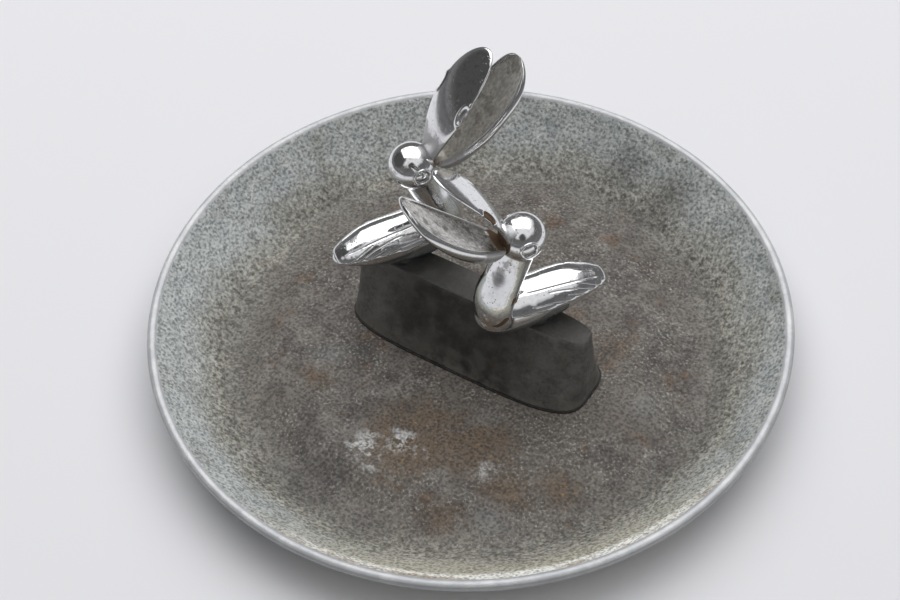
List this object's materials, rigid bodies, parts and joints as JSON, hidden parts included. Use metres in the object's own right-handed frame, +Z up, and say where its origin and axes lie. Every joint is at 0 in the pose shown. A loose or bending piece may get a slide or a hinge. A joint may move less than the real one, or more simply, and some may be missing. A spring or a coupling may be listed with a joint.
{
  "type": "hood ornament",
  "caption": "Hood ornament: paired chrome birds with open bills on a dark tapered pedestal, bolted to a round rolled-rim dish.",
  "frame": {"origin": "centre of the dish's resting plane", "axes": "+Z up; +X along the pedestal's long axis, towards the end under the front bird; the viewer stood towards -Y, turned about 33 degrees"},
  "size_m": [0.3, 0.3, 0.1553],
  "materials": {
    "galvanised_sheet": "weathered zinc coating with dark corroded floor, pale bead and rust specks",
    "bright_wire": "drawn steel wire",
    "weathered_casting": "dark matt weathered casting, lightly pitted",
    "gasket": "thin black gasket, perished",
    "fastener_steel": "zinc plated, lightly rusted",
    "bird_chrome": "polished chrome plating, pitted and dulled in places, rust in the creases",
    "bill_chrome": "polished outside and lip, dull grey-brown inner face"
  },
  "bodies": {
    "root": {"dish_pan": "galvanised_sheet", "rim_wire": "bright_wire", "pedestal": "weathered_casting", "pedestal_gasket": "gasket", "pedestal_screws": "fastener_steel", "pedestal_washers": "fastener_steel", "front_bird_body": "bird_chrome", "front_bird_upper_bill": "bill_chrome", "front_bird_lower_bill": "bill_chrome", "front_bird_left_wing": "bird_chrome", "front_bird_right_wing": "bird_chrome", "front_bird_left_eye": "bird_chrome", "front_bird_right_eye": "bird_chrome", "front_bird_screw": "fastener_steel", "front_bird_washer": "fastener_steel", "rear_bird_body": "bird_chrome", "rear_bird_upper_bill": "bill_chrome", "rear_bird_lower_bill": "bill_chrome", "rear_bird_left_wing": "bird_chrome", "rear_bird_right_wing": "bird_chrome", "rear_bird_left_eye": "bird_chrome", "rear_bird_right_eye": "bird_chrome", "rear_bird_screw": "fastener_steel", "rear_bird_washer": "fastener_steel"}
  },
  "joints": []
}
